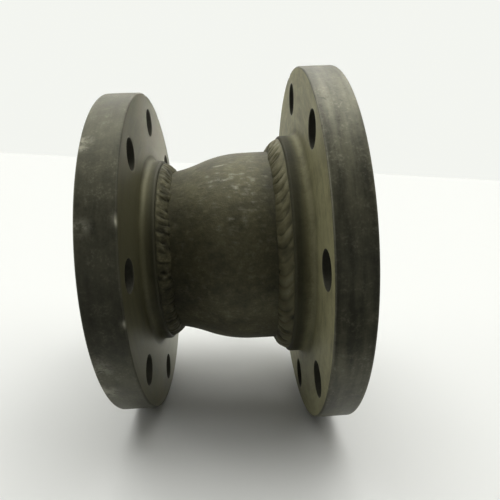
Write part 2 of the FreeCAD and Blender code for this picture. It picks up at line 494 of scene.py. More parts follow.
def steel(
    name, turned=0.0, streaks=0.0, mottle=0.5, dust=0.1, grain=0.2, rough=0.55, tone=0.0, rings=0.0,
    metal=0.45, tint=PLAIN, sheen=0.5,
):
    """Dark carbon steel.

    Turned gives machining lines, streaks long smears round the axis, mottle blotches, dust pale specks, grain
    a rough skin, and rings a gasket face's even grooves. Tone shifts the surface lighter or darker, tint
    colours it, and sheen is the strength of its clear reflection.
    """
    shader = Shader(name)
    place = shader.place()
    clouds, blotches, patches, specks, pits = (shader.noise(place, *layer) for layer in LAYERS)

    body = shader.plus(
        STEEL_TONE + tone,
        shader.swing(clouds, CLOUD_SWING),
        shader.swing(blotches, BLOTCH_SWING * mottle),
        shader.swing(patches, PATCH_SWING * mottle),
        shader.swing(specks, SPECK_SWING * mottle),
    )
    if turned > 0:
        lines = shader.turned_noise(*TURNED_LINES)
        body = shader.plus(body, shader.swing(lines, LINE_SWING * turned))
    if streaks > 0:
        smears = shader.turned_noise(*TURNED_SMEARS)
        body = shader.plus(body, shader.swing(smears, SMEAR_SWING * streaks))
    colour = shader.blend(body, tinted(STEEL_DARK, tint), tinted(STEEL_MIDDLE, tint))

    ragged = shader.shares((specks, patches), (0.5, 0.5))
    clustered = shader.times(shader.band(ragged, *DUST_BAND), shader.band(blotches, *DUST_CLUSTER_BAND))
    colour = shader.blend(shader.times(clustered, dust), colour, tinted(STEEL_DUST_AND_HIGHLIGHT, tint))
    # Pale scuffs and weld splashes, and pale painted highlights on the weld ridges.
    scuff_and_highlight_share = shader.times(shader.painted("scuff"), shader.band(ragged, *SCUFF_AND_HIGHLIGHT_BAND))
    colour = shader.blend(scuff_and_highlight_share, colour, tinted(STEEL_DUST_AND_HIGHLIGHT, PLAIN))
    # Worn bare metal on edges and knocks, and painted sheen and glints: along the rims' edges, on the small
    # inner face towards +Y, on the large rim's upper front and on weld ridges.
    bare_and_sheen = shader.times(shader.painted("wear_and_sheen"), shader.band(ragged, *WEAR_AND_SHEEN_BAND))
    colour = shader.blend(bare_and_sheen, colour, tinted(STEEL_BARE_AND_SHEEN, PLAIN))
    # Grime near the welds, darker weld bead edges, and painted shade: in the bolt holes, the raised face's
    # step and the hub's fillet, on the hubs, on the rim and inner face towards -Y, and in the weld ripples'
    # valleys.
    grime_and_shade = shader.painted("grime_and_shade")
    colour = shader.blend(shader.times(grime_and_shade, GRIME_AND_SHADE_COVER), colour, tinted(STEEL_GRIME_AND_SHADE, PLAIN))
    shader.finish("Base Color", colour)
    shader.finish("Metallic", metal)
    shader.finish("Specular IOR Level", sheen)

    roughness = shader.shares((patches, blotches, bare_and_sheen, scuff_and_highlight_share, grime_and_shade), ROUGHNESS_SHARES)
    shader.finish("Roughness", shader.plus(rough - SMOOTHER, roughness))

    normal = shader.bump(shader.shares((patches, specks, pits), SKIN_SHARES), grain * SKIN_DEPTH)
    if turned > 0:
        normal = shader.bump(lines, turned * LINE_DEPTH, under=normal)
    if rings > 0:
        radius = shader.axial_place()[-1]
        grooves = shader.math("SINE", shader.times(radius, FULL_TURN / GROOVE_PITCH))
        normal = shader.bump(grooves, rings * GROOVE_DEPTH, under=normal)
    shader.finish("Normal", normal)
    return shader.material


RIM_STEEL = steel("skimmed_rim", turned=0.25, streaks=0.3, dust=0.25, grain=0.18, rough=0.52)
STREAKED_RIM = steel("streaked_rim", turned=0.35, streaks=0.9, mottle=0.55, dust=0.25, grain=0.18, rough=0.50)
FACE_STEEL = steel(
    "turned_face", turned=0.35, streaks=0.45, grain=0.12, rough=0.46, tone=0.50, tint=BROWNED, sheen=0.4,
)
OILED_FACE = steel(
    "oiled_face", turned=0.35, streaks=0.5, mottle=0.55, grain=0.12, tone=0.45, metal=0.25, tint=OILED,
    sheen=0.25,
)
RING_STEEL = steel("bolt_ring", turned=0.35, streaks=0.35, dust=0.2, grain=0.14, rough=0.46, tone=0.15)
GASKET_STEEL = steel("gasket_face", turned=0.9, mottle=0.35, grain=0.08, rough=0.36, tone=0.4, rings=1.0)
BORE_STEEL = steel("bore", turned=0.4, mottle=0.7, grain=0.25, tone=-0.1)
HOLE_STEEL = steel("bolt_hole", turned=0.2, mottle=0.6, dust=0.0, tone=-0.2)
REDUCER_STEEL = steel("reducer_scale", mottle=0.65, dust=0.18, grain=0.4, rough=0.58, tone=0.08, tint=OLIVE)
WELD_STEEL = steel(
    "weld_metal", mottle=0.8, dust=0.25, grain=0.5, rough=0.60, tone=0.82, tint=OLIVE, sheen=0.4,
)
SOOTY_WELD = steel(
    "sooty_weld_metal", mottle=0.8, dust=0.2, grain=0.5, rough=0.64, tone=0.05, metal=0.40, tint=OLIVE,
    sheen=0.35,
)
BORE_WELD_STEEL = steel("bore_weld_metal", dust=0.05, grain=0.4, rough=0.58, tone=0.05, sheen=0.4)

# ----- flanges

FLANGE_STEPS = 640
FLANGE_SPACING = 2.4 * MM
FLANGE_SHARP = 24 * DEGREE
EDGE_ROUND = 0.5 * MM
RIM_ROUND = 1.1 * MM
STEP_ROUND = 0.3 * MM
HOLE_CHAMFER = 0.35 * MM
HOLE_SIDES = 72
BEYOND = 2.0 * MM
SAME_POINT = 0.002 * MM
ZONE_MARGIN = 0.05 * MM
FACING_ALONG = 0.98

# Random knocks on the rim, with lengths and depths in millimetres.
RANDOM_KNOCKS = 12
KNOCKED_ARC = (-75 * DEGREE, 100 * DEGREE)
KNOCK_LENGTHS = (0.8, 3.0)
KNOCK_DEPTHS = (0.15, 0.45)
KNOCK_WIDTH = 1.4 * MM
KNOCK_DRIVE = 0.7

# The skimmed rim's unevenness, and how far marks reach from each edge or face.
SKIM_RELIEF = 0.06 * MM
SKIM_LANE = 7 * MM
SKIM_PER_TURN = 26
FACE_REACH = 1.5 * MM
RIM_EDGE_REACH = 1.3 * MM
HUB_EDGE_REACH = 1.6 * MM
FACE_EDGE_REACH = 0.8 * MM
HOLE_EDGE_REACH = 0.5 * MM
STEP_REACH = 1.0 * MM
HOLE_WALL_REACH = 0.1 * MM
HUB_SHADE_REACH = 9 * MM

# How bare each edge is worn. Rim and hole edges are brighter at the top than near the floor: worn bare metal,
# and painted glints where light from above catches them.
HUB_EDGE_WEAR = 0.18
FACE_EDGE_WEAR = 0.6
HOLE_EDGE_WEAR = 0.3
KNOCK_WEAR = 0.9
EDGE_WEAR_AND_GLINT_AT_AXIS = 0.30
EDGE_WEAR_AND_GLINT_RISE = 0.85
EDGE_WEAR_AND_GLINT_LEAST = 0.15
BROKEN_LEAST = 0.12
# Painted sheen: on the inner face towards +Y, and in streaks on the rim's upper front.
FAR_SHEEN_OVERLAP = 0.45
RIM_SHEEN_ANGLE = 130 * DEGREE
RIM_SHEEN_SPREAD = 24 * DEGREE

SCUFF_GRAIN = (3 * MM, 3)
SCUFF_SEED_STEP = 5
SCUFF_LEVEL = 0.99
SCUFF_SWING = 1.08

# Painted shade: in the bolt holes, in the hub's fillet corner, in the raised face's step, and on the inner
# face towards -Y past a small gap.
HOLE_SHADE = 0.7
CORNER_SHADE = 0.48
STEP_SHADE = 0.8
NEAR_FACE_SHADE_GAP = 0.1

Unevenness = namedtuple("Unevenness", "level swing lane per_turn seed_step")
PATCHY = Unevenness(0.75, 0.5, 5 * MM, 60, 3)
SMEARED = Unevenness(0.75, 0.7, 1.8 * MM, 14, 9)
BROKEN = Unevenness(0.40, 0.80, 5 * MM, 22, 12)

Knock = namedtuple("Knock", "x angle length depth")
Scuff = namedtuple("Scuff", "x angle size strength")
Stain = namedtuple("Stain", "angle spread strength")
Surface = namedtuple("Surface", "points x radius angle on_rim from_hole")

# Near-rim shade is painted shade on the rim's front, towards -Y, and hub shade is painted shade on the hub
# and in its fillet. Knocks and scuffs are listed one by one. Near-face shade is painted shade on the inner
# face towards -Y, far-face sheen a painted sheen on it towards +Y, and rim sheen a painted sheen on the rim's
# upper front.
FlangeLook = namedtuple(
    "FlangeLook",
    "name rim_steel face_steel seed stain soot knocks scuffs oil polish rub",
    defaults=((), (), 0, 0, 0),
)


def inside(end, millimetres):
    """The x of a place some way in from a flange's raised face."""
    return end.face_x + end.inward * millimetres * MM


def knock(end, distance_in, angle, length, depth):
    """A knock placed on the rim, in millimetres and degrees."""
    return Knock(inside(end, distance_in), angle * DEGREE, length * MM, depth * MM)


def scuff(end, distance_in, angle, size, strength):
    """A scuff placed on the rim, in millimetres and degrees."""
    return Scuff(inside(end, distance_in), angle * DEGREE, size * MM, strength)


def flange_outline(end):
    """The flange's section, with every corner rounded as it is on the real one."""
    return rounded_outline(
        [
            (end.hub_end, end.bore_radius, EDGE_ROUND),
            (end.face_x, end.bore_radius, EDGE_ROUND),
            (end.face_x, end.face_radius, EDGE_ROUND),
            (end.drilled_x, end.face_radius, STEP_ROUND),
            (end.rim_near, end.rim_radius, RIM_ROUND),
            (end.rim_far, end.rim_radius, RIM_ROUND),
            (end.rim_far, end.hub_base_radius, HUB_FILLET),
            (end.hub_end, end.hub_end_radius, HUB_CORNER_ROUND),
        ],
        FLANGE_SPACING,
    )


def bolt_centres(end):
    """The y and z of each bolt hole."""
    angles = turn_angles(end.bolt_count)
    return np.column_stack((np.cos(angles), np.sin(angles))) * end.bolt_circle


def hole_cutter(end):
    """One mesh of all the flange's drills, each flared at both faces to break the hole's edges."""
    wide = end.bolt_radius + HOLE_CHAMFER + BEYOND
    profile = [
        (end.drilled_x - end.inward * BEYOND, wide),
        (end.drilled_x + end.inward * HOLE_CHAMFER, end.bolt_radius),
        (end.rim_far - end.inward * HOLE_CHAMFER, end.bolt_radius),
        (end.rim_far + end.inward * BEYOND, wide),
    ]
    work = bmesh.new()
    for centre_y, centre_z in bolt_centres(end):
        loops = []
        for x, radius in profile:
            loops.append([
                work.verts.new((x, centre_y + radius * math.cos(angle), centre_z + radius * math.sin(angle)))
                for angle in turn_angles(HOLE_SIDES)
            ])
        work.faces.new(loops[0])
        work.faces.new(loops[-1])
        for near, far in zip(loops, loops[1:]):
            for side in range(HOLE_SIDES):
                after = (side + 1) % HOLE_SIDES
                work.faces.new((near[side], near[after], far[after], far[side]))
    bmesh.ops.recalc_face_normals(work, faces=work.faces)
    mesh = bpy.data.meshes.new("drills")
    work.to_mesh(mesh)
    work.free()
    return add_object("drills", mesh)


def drill(piece, cutter):
    """Cuts the bolt holes, joins the points that the cut left double, and drops the cutter."""
    cut = piece.modifiers.new("drill", "BOOLEAN")
    cut.object = cutter
    cut.operation = "DIFFERENCE"
    cut.solver = "EXACT"
    bpy.context.view_layer.update()
    cut_piece = piece.evaluated_get(bpy.context.evaluated_depsgraph_get())
    drilled = bpy.data.meshes.new_from_object(cut_piece)
    work = bmesh.new()
    work.from_mesh(drilled)
    bmesh.ops.remove_doubles(work, verts=work.verts, dist=SAME_POINT)
    bmesh.ops.dissolve_degenerate(work, edges=work.edges, dist=SAME_POINT)
    work.to_mesh(drilled)
    work.free()
    piece.modifiers.clear()
    piece.data = drilled
    drilled.name = piece.name
    bpy.data.objects.remove(cutter)


def hole_distance(end, points):
    """How far each point is from the axis of its nearest bolt hole."""
    gaps = points[:, None, 1:] - bolt_centres(end)[None]
    return np.hypot(gaps[..., 0], gaps[..., 1]).min(axis=1)


def rim_place(end, x, angle):
    """A point on the rim's surface, at one x and one angle."""
    return np.array((x, math.cos(angle) * end.rim_radius, math.sin(angle) * end.rim_radius))


def edge_knocks(end, seed):
    """Small dents scattered along both edges of the rim."""
    rng = np.random.default_rng(seed)
    knocks = []
    for _ in range(RANDOM_KNOCKS):
        x = end.rim_near if rng.random() < 0.5 else end.rim_far
        length = rng.uniform(*KNOCK_LENGTHS) * MM
        angle = rng.uniform(*KNOCKED_ARC)
        knocks.append(Knock(x, angle, length, rng.uniform(*KNOCK_DEPTHS) * MM))
    return knocks


def knock_in(end, points, knocks):
    """Presses each knock into the rim's edge. Gives the new points and how strongly each was hit."""
    middle_x = (end.rim_near + end.rim_far) / 2
    hit = np.zeros(len(points))
    moved = points.copy()
    for x, angle, length, depth in knocks:
        out = np.array((0, math.cos(angle), math.sin(angle)))
        along = np.array((0, -math.sin(angle), math.cos(angle)))
        axial_in = np.array((math.copysign(1, middle_x - x), 0, 0))
        offset = points - rim_place(end, x, angle)
        run = offset @ along
        rest = np.linalg.norm(offset - run[:, None] * along, axis=1)
        share = np.exp(-((run / length) ** 2) - (rest / KNOCK_WIDTH) ** 2)
        moved += (axial_in - out)[None] * (share * depth)[:, None] * KNOCK_DRIVE
        hit = np.maximum(hit, share)
    return moved, hit


def skimmed_surface(end, points, seed):
    """The flange's points measured up, with a rim that isn't quite round: it was forged, and only skimmed."""
    x, radius, angle = axial(points)
    on_rim = fade(radius - end.rim_radius, FACE_REACH)
    skim = round_noise(angle, x / SKIM_LANE, SKIM_PER_TURN, seed) - 1
    skimmed = points.copy()
    skimmed[:, 1:] *= (1 + on_rim * skim * SKIM_RELIEF / radius)[:, None]
    return Surface(skimmed, x, radius, angle, on_rim, hole_distance(end, skimmed))


def uneven(surface, look, kind):
    """A strength that wanders round the flange and along its axis."""
    wander = round_noise(surface.angle, surface.x / kind.lane, kind.per_turn, look.seed + kind.seed_step)
    return kind.level + kind.swing * wander


def near_edge(surface, x, radius, reach):
    """How close each point is to a round edge, from 0 to 1."""
    return fade(surface.x - x, reach) * fade(surface.radius - radius, reach)


def on_inner_face(end, surface):
    """1 on the drilled ring that faces the pipe, outside the hub's fillet."""
    beyond_fillet = surface.radius > end.hub_base_radius + HUB_FILLET
    return fade(surface.x - end.rim_far, FACE_REACH) * beyond_fillet


def paint_wear_and_sheen(piece, end, look, surface, hit):
    """Bare metal on the edges and knocks, painted glints along the edges that grow towards the top, and
    painted sheen on the inner face towards +Y and on the rim's upper front.
    """
    near_side = fade(surface.x - end.rim_near, RIM_EDGE_REACH)
    far_side = fade(surface.x - end.rim_far, RIM_EDGE_REACH)
    rim_edge = np.maximum(near_side, far_side) * surface.on_rim
    hub_edge = near_edge(surface, end.hub_end, end.hub_end_radius, HUB_EDGE_REACH)
    face_edge = near_edge(surface, end.face_x, end.face_radius, FACE_EDGE_REACH)
    hole_edge = fade(surface.from_hole - end.bolt_radius - HOLE_CHAMFER, HOLE_EDGE_REACH)
    # Edges grow brighter towards the top: worn bare metal, and painted glints.
    height = surface.points[:, 2] / end.rim_radius
    wear_and_glint_by_height = np.clip(EDGE_WEAR_AND_GLINT_AT_AXIS + EDGE_WEAR_AND_GLINT_RISE * height, EDGE_WEAR_AND_GLINT_LEAST, 1)
    broken = np.clip(uneven(surface, look, BROKEN), BROKEN_LEAST, 1)
    edges = np.maximum.reduce((
        rim_edge * wear_and_glint_by_height * broken,
        hub_edge * HUB_EDGE_WEAR,
        face_edge * FACE_EDGE_WEAR,
        hole_edge * HOLE_EDGE_WEAR * wear_and_glint_by_height,
    ))
    # Painted sheen on the inner face, growing towards +Y.
    rightward = np.clip(surface.points[:, 1] / end.rim_radius + FAR_SHEEN_OVERLAP, 0, 1)
    far_face_sheen_share = rightward * on_inner_face(end, surface) * look.polish
    # Painted sheen on the rim's upper front, broken into streaks round it.
    upper_front = fade(turned_from(surface.angle, RIM_SHEEN_ANGLE), RIM_SHEEN_SPREAD)
    rubbed_and_sheen = upper_front * surface.on_rim * look.rub * uneven(surface, look, SMEARED)
    bare_and_sheen = np.maximum.reduce((edges * uneven(surface, look, PATCHY), hit * KNOCK_WEAR, far_face_sheen_share, rubbed_and_sheen))
    paint(piece, "wear_and_sheen", bare_and_sheen)


def paint_scuffs(piece, end, look, surface):
    """Pale scuffs on the rim, broken up by fine noise."""
    rubbed_and_sheen = np.zeros(len(surface.points))
    for x, angle, size, strength in look.scuffs:
        away = np.linalg.norm(surface.points - rim_place(end, x, angle), axis=1)
        rubbed_and_sheen = np.maximum(rubbed_and_sheen, np.exp(-(away / size) ** 2) * strength)
    fine = layered_noise(surface.points, *SCUFF_GRAIN, look.seed + SCUFF_SEED_STEP)
    paint(piece, "scuff", rubbed_and_sheen * (SCUFF_LEVEL + SCUFF_SWING * fine))


def paint_flange_shade(piece, end, look, surface):
    """Painted shade: on the inner face and the rim towards -Y, on the hub and in its fillet, in the holes,
    and in the raised face's step.
    """
    # Painted shade on the bolt holes' walls.
    in_hole = surface.from_hole < end.bolt_radius + HOLE_WALL_REACH
    # Painted shade on the hub, fading into the fillet's corner.
    from_face = np.maximum((surface.x - end.rim_far) * end.inward, 0)
    low_down = fade(from_face, HUB_SHADE_REACH)
    on_hub = (1 - low_down) * (surface.radius > end.bore_radius + EDGE_ROUND)
    in_corner = low_down * fade(surface.radius - end.hub_base_radius, HUB_SHADE_REACH)
    hub_shaded = np.maximum(on_hub, in_corner * CORNER_SHADE) * look.soot
    # Painted shade in the corner of the raised face's step.
    step = fade(surface.x - end.drilled_x, STEP_REACH) * fade(surface.radius - end.face_radius, FACE_REACH)
    # Painted shade on the inner face, growing towards -Y.
    leftward = np.clip(-surface.points[:, 1] / end.rim_radius - NEAR_FACE_SHADE_GAP, 0, 1)
    near_face_shaded = leftward * on_inner_face(end, surface) * look.oil
    # Painted shade on the rim's front, round the angle that faces -Y.
    around_rim_shade = fade(turned_from(surface.angle, look.stain.angle), look.stain.spread)
    rim_shaded = around_rim_shade * surface.on_rim * look.stain.strength
    paint(piece, "grime_and_shade", np.maximum.reduce((rim_shaded, in_hole * HOLE_SHADE, hub_shaded, step * STEP_SHADE, near_face_shaded)))


def face_vectors(piece, name):
    """One vector for each face of a piece."""
    vectors = np.empty(len(piece.data.polygons) * 3)
    piece.data.polygons.foreach_get(name, vectors)
    return vectors.reshape(-1, 3)


def flange_zones(piece, end, look):
    """Gives each face of the flange the material of its zone."""
    zones = [look.rim_steel, look.face_steel, RING_STEEL, GASKET_STEEL, BORE_STEEL, HOLE_STEEL]
    rim, face, ring, gasket, bore, hole = range(len(zones))
    piece.data.materials.clear()
    for material in zones:
        piece.data.materials.append(material)
    centres = face_vectors(piece, "center")
    x, radius, _ = axial(centres)
    round_wall = np.abs(face_vectors(piece, "normal")[:, 0]) <= FACING_ALONG
    hole_edge = end.bolt_radius + HOLE_CHAMFER + ZONE_MARGIN
    chosen = np.full(len(centres), face)
    chosen[(x - end.drilled_x) * end.inward < ZONE_MARGIN] = ring
    chosen[radius > end.rim_radius - RIM_ROUND - ZONE_MARGIN] = rim
    chosen[(np.abs(x - end.face_x) < EDGE_ROUND) & (radius > end.bore_radius + ZONE_MARGIN)] = gasket
    chosen[(radius < end.bore_radius + EDGE_ROUND) & round_wall] = bore
    chosen[(hole_distance(end, centres) < hole_edge) & round_wall] = hole
    piece.data.polygons.foreach_set("material_index", chosen.astype(np.int32))


def flange_piece(end, look):
    """A turned slip-on flange."""
    piece = lathe(look.name, flange_outline(end), FLANGE_STEPS)
    drill(piece, hole_cutter(end))
    points, hit = knock_in(end, get_points(piece), [*edge_knocks(end, look.seed), *look.knocks])
    surface = skimmed_surface(end, points, look.seed)
    set_points(piece, surface.points)
    paint_wear_and_sheen(piece, end, look, surface, hit)
    paint_scuffs(piece, end, look, surface)
    paint_flange_shade(piece, end, look, surface)
    flange_zones(piece, end, look)
    finish_mesh(piece, FLANGE_SHARP)
    fit_out(piece, end.node)


SMALL_TURNED = FlangeLook(
    name="small_end_turned_flange",
    rim_steel=RIM_STEEL,
    face_steel=FACE_STEEL,
    seed=11,
    stain=Stain(angle=188 * DEGREE, spread=38 * DEGREE, strength=0.45),
    soot=0.84,
    knocks=[knock(SMALL, 23.8, 163.6, 3.2, 0.9), knock(SMALL, 23.8, 191.2, 2.2, 0.8)],
    scuffs=[
        scuff(SMALL, 4.9, 139.8, 3.0, 1.0),
        scuff(SMALL, 4.0, 142.4, 2.4, 0.9),
        scuff(SMALL, 5.8, 165.4, 3.5, 0.8),
        scuff(SMALL, 5.4, 205.0, 6.0, 0.7),
        scuff(SMALL, 3.5, 217.1, 6.0, 0.7),
    ],
    oil=0.62,
    polish=0.45,
)
LARGE_TURNED = FlangeLook(
    name="large_end_turned_flange",
    rim_steel=STREAKED_RIM,
    face_steel=OILED_FACE,
    seed=12,
    stain=Stain(angle=177 * DEGREE, spread=22 * DEGREE, strength=0.38),
    soot=0.96,
    rub=0.24,
)

flange_piece(SMALL, SMALL_TURNED)
flange_piece(LARGE, LARGE_TURNED)

# ----- reducer

REDUCER_NODE = "concentric_reducer"
REDUCER_STEPS = 540
REDUCER_SPACING = 1.6 * MM
REDUCER_SHARP = 35 * DEGREE
SMALL_STRAIGHT = 8.6 * MM
FLARE_HOLLOW_RADIUS = 101.0 * MM
FLARE_CROWN_RADIUS = 86.0 * MM
FLARE_STEPS = 14

# Noise on the reducer, as (size of the widest features, layers, seed), and how deep or strong it is.
WAVES = (26 * MM, 2, 31)
WAVE_HEIGHT = 0.14 * MM
DIMPLES = (3.2 * MM, 2, 33)
DIMPLE_START = 0.55
DIMPLE_DEPTH = 0.35 * MM
SPLASHES = (2.4 * MM, 3, 35)
SPLASH_START = 0.35
SPLASH_STRENGTH = 1.9
SPLASH_ELSEWHERE = 0.12
SPLASHED_X = 83 * MM
SPLASHED_LENGTH = 30 * MM
SPLASHED_ANGLE = 132 * DEGREE
SPLASHED_SPREAD = 50 * DEGREE

# The ends stay true over a short length. Grime fades out from each weld, between a start and a length.
TRUE_END = 20 * MM
OUTSIDE_MARGIN = 1 * MM
SMALL_GRIME = (40 * MM, 16 * MM)
LARGE_GRIME = (109.5 * MM, -10 * MM)
NEAR_WELD_GRIME = 0.35


def s_curve(start, end_radius, hollow_radius, crown_radius):
    """Two tangent arcs that leave one straight end and run smoothly into the other."""
    rise = end_radius - start.y
    slope = math.acos(1 - rise / (hollow_radius + crown_radius))
    end = start + Vector(((hollow_radius + crown_radius) * math.sin(slope), rise))
    angles = [slope * step / FLARE_STEPS for step in range(FLARE_STEPS + 1)]
    bends = [Vector((math.sin(angle), 1 - math.cos(angle))) for angle in angles]
    hollow = [start + bend * hollow_radius for bend in bends]
    crown = [end - bend * crown_radius for bend in reversed(bends[:-1])]
    return hollow + crown


PIPE_LOW, PIPE_HIGH = (corner.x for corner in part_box(REDUCER_NODE))
SMALL_INNER, SMALL_OUTER = radii_at(REDUCER_NODE, PIPE_LOW)
LARGE_INNER, LARGE_OUTER = radii_at(REDUCER_NODE, PIPE_HIGH)
FLARE_START = PIPE_LOW + SMALL_STRAIGHT


def flare(start_radius, end_radius, thicker, thinner):
    """One side of the reducer's wall. The inside's arcs differ from the outside's by the wall's thickness."""
    start = Vector((FLARE_START, start_radius))
    return s_curve(start, end_radius, FLARE_HOLLOW_RADIUS + thicker, FLARE_CROWN_RADIUS - thinner)


OUTER_FLARE = flare(SMALL_OUTER, LARGE_OUTER, 0, 0)
INNER_FLARE = flare(SMALL_INNER, LARGE_INNER, SMALL_OUTER - SMALL_INNER, LARGE_OUTER - LARGE_INNER)


def pipe_outside(x):
    """The reducer's outer radius at x, for one place or an array of them."""
    return np.interp(x, [point.x for point in OUTER_FLARE], [point.y for point in OUTER_FLARE])


def fades_out(x, start, length):
    """1 before a start, and 0 from some length on. A length below zero runs towards -X."""
    return np.clip(1 - (x - start) / length, 0, 1)


def reducer_piece():
    """The formed reducer, with the faint waviness that hot forming leaves."""
    outline = [Vector((PIPE_LOW, SMALL_OUTER)), *OUTER_FLARE, Vector((PIPE_HIGH, LARGE_OUTER))]
    outline += [Vector((PIPE_HIGH, LARGE_INNER)), *reversed(INNER_FLARE), Vector((PIPE_LOW, SMALL_INNER))]
    piece = lathe("formed_reducer", subdivided(outline, REDUCER_SPACING), REDUCER_STEPS)
    points = get_points(piece)
    x, radius, angle = axial(points)
    clear_of_ends = np.clip((x - PIPE_LOW) / TRUE_END, 0, 1) * np.clip((PIPE_HIGH - x) / TRUE_END, 0, 1)
    waves = layered_noise(points, *WAVES) * WAVE_HEIGHT
    dimples = np.clip(layered_noise(points, *DIMPLES) - DIMPLE_START, 0, 1) * DIMPLE_DEPTH
    points[:, 1:] *= (1 + clear_of_ends * (waves - dimples) / radius)[:, None]
    set_points(piece, points)

    outside = radius > pipe_outside(x) - OUTSIDE_MARGIN
    splashes = np.clip(layered_noise(points, *SPLASHES) - SPLASH_START, 0, 1) * SPLASH_STRENGTH
    splashed = fade(x - SPLASHED_X, SPLASHED_LENGTH) * fade(angle - SPLASHED_ANGLE, SPLASHED_SPREAD)
    splash_share = SPLASH_ELSEWHERE + (1 - SPLASH_ELSEWHERE) * splashed
    near_weld = np.maximum(fades_out(x, *SMALL_GRIME), fades_out(x, *LARGE_GRIME))
    paint(piece, "wear_and_sheen", np.zeros(len(points)))
    paint(piece, "scuff", splashes * outside * splash_share)
    paint(piece, "grime_and_shade", near_weld * NEAR_WELD_GRIME)
    piece.data.materials.append(REDUCER_STEEL)
    finish_mesh(piece, REDUCER_SHARP)
    fit_out(piece, REDUCER_NODE)


reducer_piece()

# ----- welds

WELD_STEPS = 1280
WELD_ROWS = 30
WELD_SHARP = 60 * DEGREE
WELD_SUNK = 0.25 * MM
HUB_WELD_CROWN = 0.9 * MM
BORE_WELD_HOLLOW = 0.5 * MM

# How wide the valleys between ripples are, how far ripples stray, and how much their height varies.
VALLEY_WIDTH = 1.7
RIPPLE_JITTER = 0.35
RIPPLE_LEVEL = 0.65
RIPPLE_SWING = 0.45
FINE_PER_RIPPLE = 3
FINE_JITTER = 0.4
PIT_START = 0.32
TOP_WANDER = 0.5
EDGE_POWER = 0.6

# A bead's marks, by its relief as a share of its full height, and by the place across it: painted shadow in
# the valleys, darker edges, and ridges paler from wear and from painted highlight.
HALF_RELIEF = 0.45
VALLEY_SHADE = 1.2
EDGE_DARKENING = 0.5
EDGE_SHARE = 0.10
RIDGE_WEAR_AND_HIGHLIGHT = 0.25
RIDGE_SCUFF_AND_HIGHLIGHT = 0.35

# Ripples to a turn, and how far each bends across the bead: as a slant, and as a crescent.
WeldLook = namedtuple("WeldLook", "ripples slant crescent coarse fine lumps pits wander")

# Noise along a bead: its lane, its features to each ripple, and the step of its seed.
BeadNoise = namedtuple("BeadNoise", "lane per_ripple seed_step")
JITTER_NOISE = BeadNoise(0.3, 1.0, 0)
HEIGHT_NOISE = BeadNoise(1.5, 0.6, 1)
FINE_NOISE = BeadNoise(2.0, 2.0, 2)
LUMP_NOISE = BeadNoise(3.2, 1.8, 3)
PIT_NOISE = BeadNoise(1.8, 1.9, 4)
TOE_NOISE = BeadNoise(7.5, 0.8, 6)
TOP_NOISE = BeadNoise(3.5, 0.7, 7)


def bead_noise(kind, look, angles, seed, across=1.0):
    """Noise along a bead, the same all the way across it unless the place across is given."""
    lanes = np.broadcast_to(across * kind.lane, angles.shape)
    return round_noise(angles, lanes, look.ripples * kind.per_ripple, seed + kind.seed_step)


def scallop(phase):
    """Rounded humps with sharp valleys between them, from 0 to 1."""
    part = phase - np.floor(phase)
    return np.sqrt(np.clip(1 - (2 * part - 1) ** 2, 0, 1))


def ripple_height(look, angles, across, seed):
    """How far the weld's skin stands above its smooth face, for a grid of angles and places across it."""
    jitter = RIPPLE_JITTER * bead_noise(JITTER_NOISE, look, angles, seed)
    bend = look.slant * (across - 0.5) + look.crescent * (2 * across - 1) ** 2
    phase = look.ripples * angles / FULL_TURN + bend + jitter
    strength = RIPPLE_LEVEL + RIPPLE_SWING * bead_noise(HEIGHT_NOISE, look, angles, seed, across)
    coarse = scallop(phase) ** VALLEY_WIDTH * strength * look.coarse
    fine_jitter = FINE_JITTER * bead_noise(FINE_NOISE, look, angles, seed, across)
    fine = scallop(phase * FINE_PER_RIPPLE + fine_jitter) * look.fine
    slanted = angles + look.slant * (across - 0.5) * FULL_TURN / look.ripples
    lumps = bead_noise(LUMP_NOISE, look, slanted, seed, across) * look.lumps
    pits = np.clip(bead_noise(PIT_NOISE, look, slanted, seed, across) - PIT_START, 0, 1) * look.pits
    return coarse + fine + lumps - pits


def bead_skin(toe, top, hidden, across, rise):
    """The bead's face: straight from toe to top, and raised away from its buried back."""
    run = top - toe
    normal = np.column_stack((-run[:, 1], run[:, 0])) / np.linalg.norm(run, axis=1)[:, None]
    buried = np.mean(hidden, axis=0) - (toe + top) / 2
    normal *= -np.sign((normal * buried).sum(axis=1))[:, None]
    return toe[:, None] + run[:, None] * across[..., None] + normal[:, None] * rise[..., None]


def paint_bead(piece, look, across, height, hidden):
    """Painted shadow in the valleys, darker along both edges, and paler, barer metal on the ridges, partly
    wear and partly painted highlight.
    """
    relief = height / (look.coarse + look.fine + look.lumps)
    low = np.clip(HALF_RELIEF - relief, 0, 1)
    high = np.clip(relief - HALF_RELIEF, 0, 1)
    edge = np.clip(1 - np.minimum(across, 1 - across) / EDGE_SHARE, 0, 1)
    layers = {
        "grime_and_shade": np.maximum(low * VALLEY_SHADE, edge * EDGE_DARKENING),
        "wear_and_sheen": high * RIDGE_WEAR_AND_HIGHLIGHT * (1 - edge),
        "scuff": high * RIDGE_SCUFF_AND_HIGHLIGHT,
    }
    unpainted_back = np.zeros((WELD_STEPS, len(hidden)))
    for name, values in layers.items():
        paint(piece, name, np.hstack((values, unpainted_back)).ravel())


